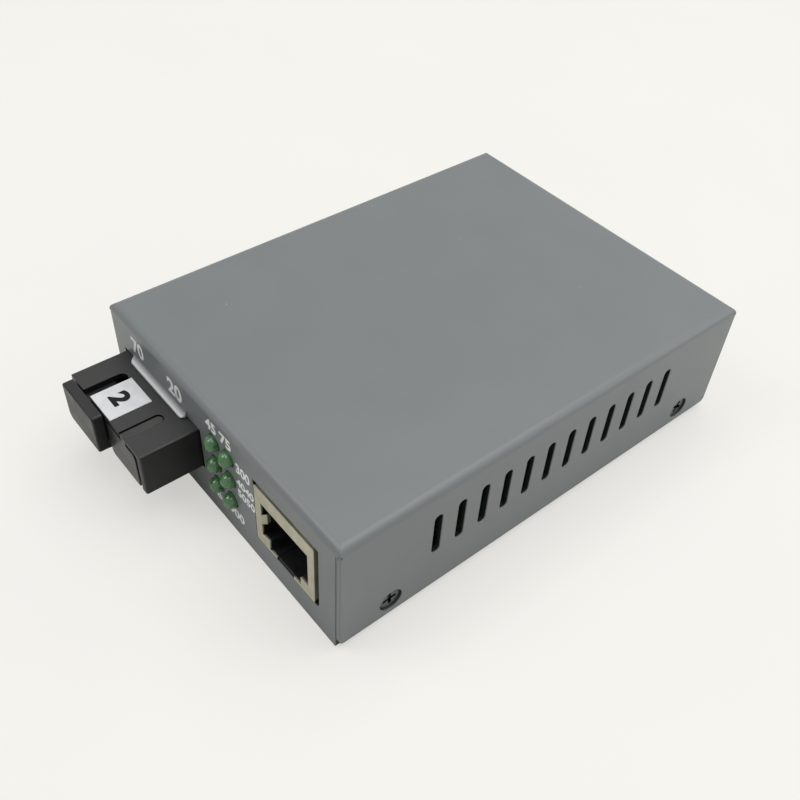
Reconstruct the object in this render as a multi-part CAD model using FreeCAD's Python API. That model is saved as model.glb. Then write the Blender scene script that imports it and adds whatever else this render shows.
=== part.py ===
import FreeCAD, Part
import math
import os

# Fibre media converter: a folded steel case round a circuit board, with a shielded network
# jack, a single-fibre optical transceiver and its dust plug, six indicator lamps and a power
# inlet at the rear. Millimetres, +Z up, the front panel faces -Y and the origin is the centre
# of the underside.

V = FreeCAD.Vector
X, Y, Z = V(1, 0, 0), V(0, 1, 0), V(0, 0, 1)

# ---------------------------------------------------------------- driving dimensions
# case
CASE_WIDTH = 70.0
CASE_DEPTH = 94.0
CASE_HEIGHT = 26.0
SHEET = 1.0
BEND_RADIUS = 0.5           # inside radius of every fold
FLAP_SEAM = 0.04            # slit between a front or rear flap and the side flaps
FLAP_RECESS = 0.12           # side flaps end this far behind the front and rear faces
SIDE_LIFT = 1.4             # side flaps end this far above the underside
CORNER_RELIEF = 0.3        # radius of the relief hole where two folds meet
FLAP_CORNER = 1.0           # rounding of the side flaps' lower corners
BASE_GAP = 0.15             # base plate to cover
FLANGE_HEIGHT = 9.0

# ventilation slots in both sides
VENT_COUNT = 12
VENT_PITCH = 5.1
VENT_WIDTH = 1.8
VENT_HEIGHT = 9.5
VENT_MID_Z = 15.43
SIDE_PATTERN_Y = 0.5        # slots and screws sit this far behind the middle

# countersunk screws in the sides
SCREW_SPACING = 74.0
SCREW_Z = 4.8
SCREW_HEAD = 4.5
SCREW_SINK = 0.4            # heads lie this far below the face
SCREW_THREAD = 2.5
SCREW_LENGTH = 5.0
SCREW_CROSS = 2.7
SCREW_CROSS_DEPTH = 0.45
SCREW_TURNS = [20, 50, 5, 65]
THREAD_CLEARANCE = 0.05
COLLAR_WALL = 0.85
COLLAR_LENGTH = 1.0

# circuit board
STANDOFF_HEIGHT = 3.2
STANDOFF_WIDTH = 5.0        # across the hexagon's flats
STANDOFF_SHANK = 4.0
BOARD_THICKNESS = 1.6
BOARD_EDGE_GAP = 0.5
BOARD_HOLE_INSET_X = 3.4
BOARD_HOLE_INSET_Y = 20.5
BOARD_HOLE_BEHIND_OPTIC = 6.0
BOARD_SCREW_DIAMETER = 2.9
BOARD_SCREW_HEAD = 5.4
BOARD_SCREW_HEAD_HEIGHT = 1.9
BOARD_SCREW_LENGTH = 4.4
PIN_STICKOUT = 1.2          # solder ends below the board
PIN_HOLE_GAP = 0.15

# network jack
JACK_X = 20.2
JACK_WIDTH = 16.5
JACK_HEIGHT = 14.0
JACK_DEPTH = 18.0
JACK_SHEET = 0.3
JACK_FIT = 0.05
JACK_WINDOW_LEFT = 0.15
JACK_WINDOW_RIGHT = 1.2
JACK_WINDOW_TOP = 1.15
JACK_WINDOW_BOTTOM = 0.1
PLUG_WIDTH = 13.0
PLUG_TOP = 10.8            # above the board
PLUG_SHOULDER = 2.7
LATCH_STEP_WIDTH = 8.8
LATCH_STEP = 0.6
LATCH_SLOT_WIDTH = 4.9
PLUG_DEPTH = 13.0
FINGER_REACH = 0.6
FINGER_LOW = 5.3
FINGER_HIGH = 7.8
FINGER_LENGTH = 1.5
JACK_PEG_DIAMETER = 3.0
JACK_PEG_SPACING = 11.4
JACK_PEG_FROM_FRONT = 8.9
CONTACT_COUNT = 8
CONTACT_PITCH = 1.02
CONTACT_WIDTH = 0.4
CONTACT_THICKNESS = 0.25
CONTACT_DIP = 2.8          # free ends hang this far below the plug space's roof
CONTACT_NOSE = 3.0          # bend at the front, behind the jack's face
CONTACT_FREE_END = 3.2      # in front of the plug space's back
CONTACT_SLOT = 0.55
CONTACT_SLOT_LEAD = 0.8     # slots begin this far ahead of the bend
CONTACT_SLOT_DEPTH = 0.6

# optical transceiver
OPTIC_X = -17.9
OPTIC_WIDTH = 25.4
OPTIC_HEIGHT = 9.2
OPTIC_LENGTH = 39.4
OPTIC_REACH = 11.1          # nose in front of the panel
OPTIC_LIFT = 2.7            # underside above the board
OPTIC_WINDOW_SIDE = 0.5
OPTIC_WINDOW_TOP = 0.2
OPTIC_WINDOW_BOTTOM = 0.3
PORT_PITCH = 12.7
PORT_WIDTH = 9.6
PORT_ROOF = 1.1
PORT_FLOOR = 0.9
PORT_DEPTH = 14.3
OPTIC_WALL = 1.0
OPTIC_EDGE = 0.4            # rounding of the nose's outer edges
KEY_WIDTH = 2.6
KEY_LENGTH = 7.95
BLANK_KEYWAY = 2.15
KEY_GAP = 0.25              # blanking key to its keyway
KEY_SHIFT = 0.15
BLANK_SIDE_WALL = 1.45
BLANK_ROOF = 0.75
BLANK_FIT = 0.12
BLANK_DEPTH = 10.0
BLANK_REBATE = 0.85          # groove round the face's top and right
BLANK_REBATE_DEPTH = 1.2
BLANK_ROUNDING = 1.0
NOSE_GROOVE_WIDTH = 1.25
NOSE_GROOVE_DEPTH = 2.0
OPTIC_BASE_THICKNESS = 0.8
OPTIC_POST_DIAMETER = 1.9
OPTIC_POST_SHOULDER = 2.9
OPTIC_POST_SPACING = 20.32
OPTIC_POST_FROM_REAR = 15.0
OPTIC_PIN_COUNT = 9
OPTIC_PIN_PITCH = 2.54
OPTIC_PIN_SIZE = 0.5
OPTIC_PIN_FROM_REAR = 3.0
LATCH_PLATE = 2.0
LATCH_FIT = 0.1
LATCH_ARM_OFFSET = 3.0
LATCH_ARM_THICKNESS = 0.8
LATCH_ARM_HEIGHT = 3.2
LATCH_ARM_LENGTH = 7.6
LATCH_HOOK = 0.45
SLEEVE_OUTER = 3.2
SLEEVE_BORE = 2.53
SLEEVE_TUBE = 4.6
SLEEVE_LENGTH = 9.4
OPTIC_BARREL_DIAMETER = 6.2
OPTIC_BARREL_LENGTH = 9.0
OPTIC_BARREL_FLAT = 2.5     # from the axis
OPTIC_BARREL_COLLAR = 1.0   # left round ahead of the flat
OPTIC_STUB = 2.0            # reaches into the sleeve
OPTIC_CAN_DIAMETER = 5.0
OPTIC_CAN_LENGTH = 4.0
OPTIC_BOARD_THICKNESS = 1.0
LABEL_WIDTH = 7.4
LABEL_DEPTH = 8.0
LABEL_THICKNESS = 0.12
LABEL_X = -19.55
LABEL_SETBACK = 0.15

# formed lip over the transceiver's window
LIP_REACH = 1.25
LIP_RISE = 1.8
LIP_LEFT = 3.8              # from the window's left edge
LIP_RIGHT = 4.1             # from the window's right edge

# dust plug in the open port
CAP_WIDTH = 11.7
CAP_HEIGHT = 8.5
CAP_THICKNESS = 2.0
CAP_SHIFT_X = 0.6          # flange centre from the port's centre
CAP_SHIFT_Z = 0.5
CAP_LOW_CORNER = 1.5        # outer end, below
CAP_CORNER = 0.6            # the other three
CAP_EDGE = 0.35
CAP_SEAT_GAP = 0.3
CAP_SPIGOT_LENGTH = 6.2
CAP_SPIGOT_FIT = 0.2
CAP_SPIGOT_WALL = 0.8

# indicator lamps
LAMP_LEFT_X = 0.1
LAMP_COLUMN_PITCH = 4.4
LAMP_ROW_PITCH = 5.3
LAMP_BOTTOM_Z = 8.6
LAMP_DIAMETER = 3.0
LAMP_REACH = 1.9            # dome in front of the panel
LAMP_LENGTH = 5.3
LAMP_RIM_DIAMETER = 3.8
LAMP_RIM = 1.0
LAMP_HOLE_GAP = 0.15
LAMP_LEAD = 0.5
LAMP_LEAD_SPACING = 2.54
LAMP_LEAD_STEP = 1.6
LAMP_HOLDER_DEPTH = 4.0
LAMP_HOLDER_MARGIN = 0.4

# power inlet
INLET_X = -18.0
INLET_WIDTH = 9.0
INLET_HEIGHT = 11.0
INLET_DEPTH = 14.2
INLET_BORE = 6.4
INLET_BORE_Z = 6.5          # above the board
INLET_BORE_DEPTH = 9.5
INLET_PIN_DIAMETER = 2.0
INLET_PIN_RECESS = 0.8
INLET_WINDOW = 8.0
INLET_PANEL_GAP = 0.05
INLET_SPRING_WIDTH = 3.0
INLET_SPRING_THICKNESS = 0.3
INLET_LUG = 0.6

# parts on the board: centre x, centre y, then sizes
CHIP_X, CHIP_Y = 10.0, 4.0
CHIP_SIZE = 14.0
CHIP_THICKNESS = 1.4
CHIP_LEADS_PER_SIDE = 8
CHIP_LEAD_PITCH = 1.5
LEAD_WIDTH = 0.4
LEAD_THICKNESS = 0.2
LEAD_SPREAD = 1.0
TRANSFORMER_Y_GAP = 8.0     # behind the jack
TRANSFORMER_LENGTH = 12.7
TRANSFORMER_WIDTH = 7.1
TRANSFORMER_HEIGHT = 5.0
TRANSFORMER_LEAD_COUNT = 8
TRANSFORMER_LEAD_PITCH = 1.27
CRYSTAL_X, CRYSTAL_Y = -4.0, -10.0
CRYSTAL_LENGTH = 11.0
CRYSTAL_WIDTH = 4.6
CRYSTAL_HEIGHT = 3.5
CAPACITOR_DIAMETER = 6.3
CAPACITOR_HEIGHT = 11.0
CAPACITOR_EDGE = 0.5
CAPACITOR_SPOTS = [(2.0, 36.0), (-5.5, 28.0)]
INDUCTOR_X, INDUCTOR_Y = -17.0, 18.0
INDUCTOR_SIZE = 7.4
INDUCTOR_HEIGHT = 4.0
INDUCTOR_CORNER = 2.0
REGULATOR_X, REGULATOR_Y = 14.0, 26.0
REGULATOR_LENGTH = 6.5
REGULATOR_WIDTH = 3.5
REGULATOR_HEIGHT = 1.6
CHIP_PART_LENGTH = 1.6
CHIP_PART_WIDTH = 0.8
RESISTOR_HEIGHT = 0.5
CERAMIC_HEIGHT = 0.8
RESISTOR_SPOTS = [(-2.0, 0.0), (-2.0, 2.0), (-2.0, 4.0), (-2.0, 6.0), (24.0, 2.0), (24.0, 4.0),
                  (24.0, 6.0), (24.0, 8.0), (-14.0, -8.0), (-14.0, -6.0)]
CERAMIC_SPOTS = [(4.0, 16.0), (7.0, 16.0), (10.0, 16.0), (13.0, 16.0), (-20.0, 4.0),
                 (-20.0, 6.0), (20.0, 16.0), (23.0, 16.0)]

# ---------------------------------------------------------------- places worked out from them
half_width = CASE_WIDTH / 2
half_depth = CASE_DEPTH / 2
front = -half_depth
rear = half_depth
outer_bend = BEND_RADIUS + SHEET
side_inside = half_width - SHEET
panel_inside = half_depth - SHEET
flap_edge = side_inside - FLAP_SEAM
base_half_width = side_inside - BASE_GAP
base_half_depth = panel_inside - BASE_GAP
flange_inside = base_half_width - SHEET
board_bottom = SHEET + STANDOFF_HEIGHT
board_top = board_bottom + BOARD_THICKNESS
board_half_width = flange_inside - BOARD_EDGE_GAP
board_half_depth = base_half_depth - BOARD_EDGE_GAP
pin_tip = board_bottom - PIN_STICKOUT
screw_rows = [SIDE_PATTERN_Y - SCREW_SPACING / 2, SIDE_PATTERN_Y + SCREW_SPACING / 2]
thread_hole = SCREW_THREAD / 2 + THREAD_CLEARANCE
collar_radius = thread_hole + COLLAR_WALL

jack_left = JACK_X - JACK_WIDTH / 2
jack_right = JACK_X + JACK_WIDTH / 2
jack_top = board_top + JACK_HEIGHT
jack_rear = front + JACK_DEPTH
plug_roof = board_top + PLUG_TOP

optic_left = OPTIC_X - OPTIC_WIDTH / 2
optic_right = OPTIC_X + OPTIC_WIDTH / 2
optic_bottom = board_top + OPTIC_LIFT
optic_top = optic_bottom + OPTIC_HEIGHT
optic_front = front - OPTIC_REACH
optic_rear = optic_front + OPTIC_LENGTH
port_x = OPTIC_X - PORT_PITCH / 2
blank_x = OPTIC_X + PORT_PITCH / 2
port_low = optic_bottom + PORT_FLOOR
port_high = optic_top - PORT_ROOF
port_z = (port_low + port_high) / 2
port_back = optic_front + PORT_DEPTH
key_end = optic_front + KEY_LENGTH
optic_window = (optic_left - OPTIC_WINDOW_SIDE, optic_right + OPTIC_WINDOW_SIDE)
optic_pin_y = optic_rear - OPTIC_PIN_FROM_REAR
optic_post_y = optic_rear - OPTIC_POST_FROM_REAR
optic_board_z = port_z

lamp_columns = [LAMP_LEFT_X, LAMP_LEFT_X + LAMP_COLUMN_PITCH]
lamp_rows = [LAMP_BOTTOM_Z + 2 * LAMP_ROW_PITCH, LAMP_BOTTOM_Z + LAMP_ROW_PITCH, LAMP_BOTTOM_Z]
lamp_tip = front - LAMP_REACH
lamp_back = lamp_tip + LAMP_LENGTH

inlet_back = panel_inside - INLET_PANEL_GAP
inlet_inner = inlet_back - INLET_DEPTH
inlet_z = board_top + INLET_BORE_Z


# ---------------------------------------------------------------- shared helpers
def box(x0, x1, y0, y1, z0, z1):
    """Box between two corners."""
    return Part.makeBox(x1 - x0, y1 - y0, z1 - z0, V(x0, y0, z0))


def rod(start, direction, radius, length):
    """Round bar from a point along a direction."""
    return Part.makeCylinder(radius, length, V(*start), direction)


def prism(points, along):
    """Straight-edged outline pushed along a vector."""
    wire = Part.makePolygon([V(*p) for p in points] + [V(*points[0])])
    return Part.Face(wire).extrude(along)


def fused(shapes):
    """One solid from several that touch or overlap."""
    return shapes[0].multiFuse(shapes[1:]).removeSplitter() if len(shapes) > 1 else shapes[0]


def cut(shape, tools):
    return shape.cut(Part.makeCompound(tools))


def group(shapes):
    """Several separate solids that share a node."""
    return Part.makeCompound(shapes)


def edges_along(shape, direction, wanted):
    """Straight edges parallel to a direction whose midpoint passes a test."""
    found = []
    for edge in shape.Edges:
        if not isinstance(edge.Curve, Part.Line):
            continue
        middle = edge.valueAt((edge.FirstParameter + edge.LastParameter) / 2)
        if abs(abs(edge.Curve.Direction.dot(direction)) - 1) < 1e-6 and wanted(middle):
            found.append(edge)
    return found


def rounded(shape, direction, radius, wanted=lambda p: True):
    """Rounds the edges that run along a direction."""
    return shape.makeFillet(radius, edges_along(shape, direction, wanted))


def mirrored_pair(shape):
    """A shape and its copy on the other side of x = 0."""
    return [shape, shape.mirror(V(0, 0, 0), X)]


def upright_slot(y, z, width, height, x0, x1):
    """Round-ended vertical slot through a side wall."""
    reach = (height - width) / 2
    bar = box(x0, x1, y - width / 2, y + width / 2, z - reach, z + reach)
    ends = [rod((x0, y, z + s * reach), X, width / 2, x1 - x0) for s in (-1, 1)]
    return bar.multiFuse(ends)


def lead(outline, x, width):
    """Flat strip of metal: an outline in the YZ plane with a width along X."""
    points = [(x - width / 2, y, z) for y, z in outline]
    return prism(points, V(width, 0, 0))


def square_hole(x, y, size):
    """Square hole through the circuit board."""
    half = size / 2 + PIN_HOLE_GAP
    return box(x - half, x + half, y - half, y + half, board_bottom - 1, board_top + 1)


# ---------------------------------------------------------------- case
def screw_axis(side, y, inset=0.0):
    """Point on a side screw's axis, measured inwards from the side's outer face."""
    return (side * (half_width - inset), y, SCREW_Z)


def head_cone(side, y, gap):
    """Countersink of a side screw, or its head when the gap is nought."""
    wide, narrow = SCREW_HEAD / 2 + gap, SCREW_THREAD / 2 + gap
    start = V(*screw_axis(side, y, SCREW_SINK))
    return Part.makeCone(wide, narrow, SHEET - SCREW_SINK, start, V(-side, 0, 0))


def window_lip():
    """Outward flare of the panel over the transceiver, and the hollow behind it."""
    low = optic_top + OPTIC_WINDOW_TOP
    high = low + LIP_RISE
    left = optic_window[0] + LIP_LEFT
    right = optic_window[1] - LIP_RIGHT
    turn = 2 * math.atan2(LIP_REACH, LIP_RISE)
    radius = LIP_RISE / math.sin(turn)
    centre = (left - 1, front - radius, high)
    width = right - left + 2
    bulge = box(left, right, front - LIP_REACH, front + SHEET / 2, low, high)
    bulge = rounded(bulge, Z, LIP_REACH * 0.9, lambda p: p.y < front - LIP_REACH / 2)
    bulge = bulge.cut(rod(centre, X, radius, width))
    hollow = box(left + SHEET, right - SHEET, front - LIP_REACH, -panel_inside, low, high)
    hollow = hollow.cut(rod(centre, X, radius + SHEET, width))
    return bulge, hollow


def jack_window():
    opening = box(jack_left - JACK_WINDOW_LEFT, jack_right + JACK_WINDOW_RIGHT,
                  front - 1, -panel_inside + 1,
                  board_top - JACK_WINDOW_BOTTOM, jack_top + JACK_WINDOW_TOP)
    return rounded(opening, Y, JACK_WINDOW_RIGHT * 0.9, lambda p: p.z < jack_top and p.x > JACK_X)


def make_cover():
    """Top, front, rear and both sides folded from one sheet."""
    outer = box(-half_width, half_width, front, rear, 0, CASE_HEIGHT)
    outer = outer.makeFillet(outer_bend, [e for e in outer.Edges if e.CenterOfMass.z > CASE_HEIGHT - 1e-3])
    inner = box(-side_inside, side_inside, -panel_inside, panel_inside, -1, CASE_HEIGHT - SHEET)
    inner = inner.makeFillet(BEND_RADIUS,
                             [e for e in inner.Edges if e.CenterOfMass.z > CASE_HEIGHT - SHEET - 1e-3])
    shell = outer.cut(inner)
    fold = CASE_HEIGHT - outer_bend
    tools = []
    for side in (-1, 1):
        # underside of the side flap, then the seam, recess and relief hole at each end
        low = box(flap_edge, half_width + 1, front - 1, rear + 1, -1, SIDE_LIFT)
        tools.append(low if side > 0 else low.mirror(V(0, 0, 0), X))
        for end in (-1, 1):
            seam = box(flap_edge, side_inside, panel_inside - 0.2, half_depth + 1, -1, fold)
            recess = box(side_inside - 0.01, half_width + 1, half_depth - FLAP_RECESS,
                         half_depth + 1, -1, fold)
            relief = Part.makeCylinder(CORNER_RELIEF, 4 * SHEET,
                                       V(half_width - 3 * SHEET, half_depth - 3 * SHEET, fold + CORNER_RELIEF / 2),
                                       V(1, 1, 0))
            for tool in (seam, recess, relief):
                if side < 0:
                    tool = tool.mirror(V(0, 0, 0), X)
                if end < 0:
                    tool = tool.mirror(V(0, 0, 0), Y)
                tools.append(tool)
        for y in screw_rows:
            tools.append(head_cone(side, y, THREAD_CLEARANCE))
            tools.append(rod(screw_axis(side, y, -1), V(-side, 0, 0),
                             SCREW_HEAD / 2 + THREAD_CLEARANCE, SCREW_SINK + 1))
            tools.append(rod(screw_axis(side, y, -1), V(-side, 0, 0), thread_hole, SHEET + 2))
    first = SIDE_PATTERN_Y - (VENT_COUNT - 1) * VENT_PITCH / 2
    for i in range(VENT_COUNT):
        y = first + i * VENT_PITCH
        slot = upright_slot(y, VENT_MID_Z, VENT_WIDTH, VENT_HEIGHT, side_inside - 1, half_width + 1)
        tools += mirrored_pair(slot)
    tools.append(jack_window())
    tools.append(box(optic_window[0], optic_window[1], front - 1, -panel_inside + 1,
                     optic_bottom - OPTIC_WINDOW_BOTTOM, optic_top + OPTIC_WINDOW_TOP))
    for x in lamp_columns:
        for z in lamp_rows:
            tools.append(rod((x, front - 1, z), Y, LAMP_DIAMETER / 2 + LAMP_HOLE_GAP, SHEET + 2))
    tools.append(rod((INLET_X, panel_inside - 1, inlet_z), Y, INLET_WINDOW / 2, SHEET + 2))
    cover = cut(shell, tools)
    bulge, hollow = window_lip()
    cover = cover.fuse(bulge).cut(hollow)
    return rounded(cover, X, FLAP_CORNER,
                   lambda p: abs(p.x) > side_inside and abs(p.z - SIDE_LIFT) < 1e-3)


def make_base_plate():
    """Floor with an upturned flange along each side."""
    outer = box(-base_half_width, base_half_width, -base_half_depth, base_half_depth, 0, FLANGE_HEIGHT)
    outer = rounded(outer, Y, outer_bend, lambda p: p.z < 1e-3)
    inner = box(-flange_inside, flange_inside, -base_half_depth - 1, base_half_depth + 1,
                SHEET, FLANGE_HEIGHT + 1)
    inner = rounded(inner, Y, BEND_RADIUS, lambda p: p.z < SHEET + 1e-3)
    tray = outer.cut(inner)
    collars, holes = [], []
    for side in (-1, 1):
        for y in screw_rows:
            inward = V(-side, 0, 0)
            seat = half_width - flange_inside
            collars.append(rod(screw_axis(side, y, seat - SHEET / 2), inward,
                               collar_radius, SHEET / 2 + COLLAR_LENGTH))
            holes.append(rod(screw_axis(side, y), inward, thread_hole, seat + COLLAR_LENGTH + 1))
    for x, y in board_hole_spots():
        holes.append(rod((x, y, -1), Z, STANDOFF_SHANK / 2 + THREAD_CLEARANCE, SHEET + 2))
    return cut(fused([tray] + collars), holes)


def make_cover_screws():
    """Countersunk cross-head screws, two in each side."""
    screws = []
    spots = [(side, y) for side in (-1, 1) for y in screw_rows]
    for (side, y), turn in zip(spots, SCREW_TURNS):
        shank = rod(screw_axis(side, y, SCREW_SINK), V(-side, 0, 0), SCREW_THREAD / 2, SCREW_LENGTH - SCREW_SINK)
        screw = head_cone(side, y, 0).fuse(shank)
        arm, slit = SCREW_CROSS / 2, SCREW_CROSS / 8
        x0, x1 = sorted((side * (half_width + 1), side * (half_width - SCREW_SINK - SCREW_CROSS_DEPTH)))
        cross = box(x0, x1, y - arm, y + arm, SCREW_Z - slit, SCREW_Z + slit)
        cross = cross.fuse(box(x0, x1, y - slit, y + slit, SCREW_Z - arm, SCREW_Z + arm))
        cross.rotate(V(0, y, SCREW_Z), X, turn)
        screws.append(screw.cut(cross).removeSplitter())
    return group(screws)


# ---------------------------------------------------------------- circuit board and its fixings
def board_hole_spots():
    x = board_half_width - BOARD_HOLE_INSET_X
    y = board_half_depth - BOARD_HOLE_INSET_Y
    return [(x, -y), (x, y), (-x, y), (-x, optic_rear + BOARD_HOLE_BEHIND_OPTIC)]


def make_standoffs():
    """Internally threaded standoffs pressed into the floor."""
    posts = []
    reach = STANDOFF_WIDTH / math.sqrt(3)
    angles = [math.radians(60 * i) for i in range(6)]
    for x, y in board_hole_spots():
        corners = [(x + reach * math.cos(a), y + reach * math.sin(a), SHEET) for a in angles]
        post = prism(corners, V(0, 0, STANDOFF_HEIGHT))
        post = post.fuse(rod((x, y, THREAD_CLEARANCE), Z, STANDOFF_SHANK / 2, SHEET))
        thread = rod((x, y, -1), Z, BOARD_SCREW_DIAMETER / 2 + THREAD_CLEARANCE, board_bottom + 2)
        posts.append(post.cut(thread).removeSplitter())
    return group(posts)


def make_board_screws():
    """Pan-head screws that hold the board down."""
    screws = []
    for x, y in board_hole_spots():
        head = rod((x, y, board_top), Z, BOARD_SCREW_HEAD / 2, BOARD_SCREW_HEAD_HEIGHT)
        head = head.makeChamfer(BOARD_SCREW_HEAD_HEIGHT * 0.35,
                                [e for e in head.Edges if e.Closed and e.CenterOfMass.z > board_top + 1])
        shank = rod((x, y, board_top - BOARD_SCREW_LENGTH), Z, BOARD_SCREW_DIAMETER / 2,
                    BOARD_SCREW_LENGTH + BOARD_SCREW_HEAD_HEIGHT / 2)
        arm, slit = BOARD_SCREW_HEAD / 4, BOARD_SCREW_HEAD / 16
        low, high = board_top + BOARD_SCREW_HEAD_HEIGHT / 2, board_top + BOARD_SCREW_HEAD_HEIGHT + 1
        cross = box(x - arm, x + arm, y - slit, y + slit, low, high)
        cross = cross.fuse(box(x - slit, x + slit, y - arm, y + arm, low, high))
        screws.append(head.fuse(shank).cut(cross).removeSplitter())
    return group(screws)


def make_board():
    """Glass-epoxy board with its holes and the notches that clear the side screws."""
    board = box(-board_half_width, board_half_width, -board_half_depth, board_half_depth,
                board_bottom, board_top)
    tools = []
    low, deep = board_bottom - 1, BOARD_THICKNESS + 2
    for x, y in board_hole_spots():
        tools.append(rod((x, y, low), Z, BOARD_SCREW_DIAMETER / 2 + PIN_HOLE_GAP, deep))
    notch = collar_radius + BOARD_EDGE_GAP
    tip = half_width - SCREW_LENGTH - BOARD_EDGE_GAP
    for y in screw_rows:
        tools += mirrored_pair(box(tip, half_width, y - notch, y + notch, low, low + deep))
    for side in (-1, 1):
        tools.append(rod((JACK_X + side * JACK_PEG_SPACING / 2, front + JACK_PEG_FROM_FRONT, low), Z,
                         JACK_PEG_DIAMETER / 2 + PIN_HOLE_GAP, deep))
        tools.append(rod((OPTIC_X + side * OPTIC_POST_SPACING / 2, optic_post_y, low), Z,
                         OPTIC_POST_DIAMETER / 2 + PIN_HOLE_GAP, deep))
        tools.append(square_hole(JACK_X + side * (JACK_WIDTH - JACK_SHEET) / 2, shield_leg_y(), 1.0))
    for x in contact_columns():
        tools.append(square_hole(x, contact_tail_y(), CONTACT_WIDTH))
    for x in optic_pin_columns():
        tools.append(square_hole(x, optic_pin_y, OPTIC_PIN_SIZE))
    for x in lamp_columns:
        for row in range(len(lamp_rows)):
            for side in (-1, 1):
                tools.append(square_hole(x + side * LAMP_LEAD_SPACING / 2, lamp_drop_y(row), LAMP_LEAD))
    for y in (inlet_inner - INLET_LUG / 2, inlet_spring_y()):
        half = INLET_SPRING_WIDTH / 2 + PIN_HOLE_GAP
        thick = INLET_LUG / 2 + PIN_HOLE_GAP
        tools.append(box(INLET_X - half, INLET_X + half, y - thick, y + thick, low, low + deep))
    return cut(board, tools)


# ---------------------------------------------------------------- network jack
def contact_columns():
    first = JACK_X - (CONTACT_COUNT - 1) * CONTACT_PITCH / 2
    return [first + i * CONTACT_PITCH for i in range(CONTACT_COUNT)]


def contact_tail_y():
    return front + PLUG_DEPTH + (JACK_DEPTH - PLUG_DEPTH) / 2


def shield_leg_y():
    return front + JACK_PEG_FROM_FRONT + JACK_PEG_DIAMETER


def plug_space(y0, y1, grow, floor):
    """Stepped space for a plug whose latch points down."""
    wide, step, slot = (w / 2 + grow for w in (PLUG_WIDTH, LATCH_STEP_WIDTH, LATCH_SLOT_WIDTH))
    shoulder = board_top + PLUG_SHOULDER - grow
    ledge = board_top + LATCH_STEP - grow
    top = plug_roof + grow
    outline = [(-wide, top), (-wide, shoulder), (-step, shoulder), (-step, ledge), (-slot, ledge),
               (-slot, floor), (slot, floor), (slot, ledge), (step, ledge), (step, shoulder),
               (wide, shoulder), (wide, top)]
    return prism([(JACK_X + x, y0, z) for x, z in outline], V(0, y1 - y0, 0))


def make_jack_shield():
    """Plated shell with the plug opening, two inward fingers and two solder legs."""
    shell = box(jack_left, jack_right, front, jack_rear, board_top, jack_top)
    shell = rounded(shell, Y, JACK_SHEET, lambda p: p.z > jack_top - 1e-3)
    shell = shell.cut(box(jack_left + JACK_SHEET, jack_right - JACK_SHEET,
                          front + JACK_SHEET, jack_rear - JACK_SHEET,
                          board_top - 1, jack_top - JACK_SHEET))
    shell = shell.cut(plug_space(front - 1, front + 2 * JACK_SHEET, 0, board_top - 1))
    reach, root = FINGER_REACH, JACK_SHEET
    edge = JACK_X - PLUG_WIDTH / 2
    path = [(edge - root, front), (edge, front), (edge + reach, front + FINGER_LENGTH / 2),
            (edge + reach * 0.7, front + FINGER_LENGTH), (edge + reach * 0.7 - root, front + FINGER_LENGTH),
            (edge + reach - root, front + FINGER_LENGTH / 2), (edge, front + root), (edge - root, front + root)]
    finger = prism([(x, y, board_top + FINGER_LOW) for x, y in path],
                   V(0, 0, FINGER_HIGH - FINGER_LOW))
    leg = box(jack_left, jack_left + JACK_SHEET, shield_leg_y() - 0.5, shield_leg_y() + 0.5,
              pin_tip, board_top + 1)
    extras = []
    for piece in (finger, leg):
        extras += [piece, piece.mirror(V(JACK_X, 0, 0), X)]
    return fused([shell] + extras)


def make_jack_insert():
    """Moulded body inside the shield, with the plug space, contact slots and two pegs."""
    gap = JACK_SHEET + JACK_FIT
    block = box(jack_left + gap, jack_right - gap, front + gap, jack_rear - gap, board_top, jack_top - gap)
    pegs = [rod((JACK_X + side * JACK_PEG_SPACING / 2, front + JACK_PEG_FROM_FRONT, pin_tip), Z,
                JACK_PEG_DIAMETER / 2, board_top - pin_tip + 1) for side in (-1, 1)]
    block = fused([block] + pegs)
    tools = [plug_space(front - 1, front + PLUG_DEPTH, JACK_FIT, board_top + JACK_SHEET)]
    tail = contact_tail_y()
    slot_front = front + CONTACT_NOSE - CONTACT_SLOT_LEAD
    for x in contact_columns():
        half = CONTACT_SLOT / 2
        top = plug_roof + CONTACT_SLOT_DEPTH
        tools.append(box(x - half, x + half, slot_front, tail + half, plug_roof - 1, top))
        tools.append(box(x - half, x + half, tail - half, tail + half, board_top - 1, top))
    return cut(block, tools)


def make_jack_contacts():
    """Sprung contact wires that hang into the plug space from its roof."""
    wires = []
    thick = CONTACT_THICKNESS
    low = plug_roof + CONTACT_SLOT_DEPTH / 2 - thick / 2
    nose = front + CONTACT_NOSE
    tail = contact_tail_y()
    free = front + PLUG_DEPTH - CONTACT_FREE_END
    tip = plug_roof - CONTACT_DIP
    for x in contact_columns():
        outline = [(tail + thick / 2, pin_tip), (tail + thick / 2, low + thick), (nose, low + thick),
                   (nose - thick, low), (free, tip), (free, tip + thick), (nose + thick, low),
                   (tail - thick / 2, low), (tail - thick / 2, pin_tip)]
        wires.append(lead(outline, x, CONTACT_WIDTH))
    return group(wires)


# ---------------------------------------------------------------- optical transceiver
def optic_pin_columns():
    first = OPTIC_X - (OPTIC_PIN_COUNT - 1) * OPTIC_PIN_PITCH / 2
    return [first + i * OPTIC_PIN_PITCH for i in range(OPTIC_PIN_COUNT)]


def key_slot(x, width, end, low, high):
    """Round-ended keyway in the roof of a port, or its key, open at the front."""
    half = width / 2
    bar = box(x - half, x + half, optic_front - 1, end - half, low, high)
    return bar.fuse(rod((x, end - half, low), Z, half, high - low))


def blank_outline(grow):
    """Space of the closed right-hand port."""
    left = OPTIC_X + NOSE_GROOVE_WIDTH / 2 - 0.25
    return (left - grow, optic_right - BLANK_SIDE_WALL - BLANK_FIT + grow,
            optic_top - BLANK_ROOF - BLANK_FIT + grow)


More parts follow.
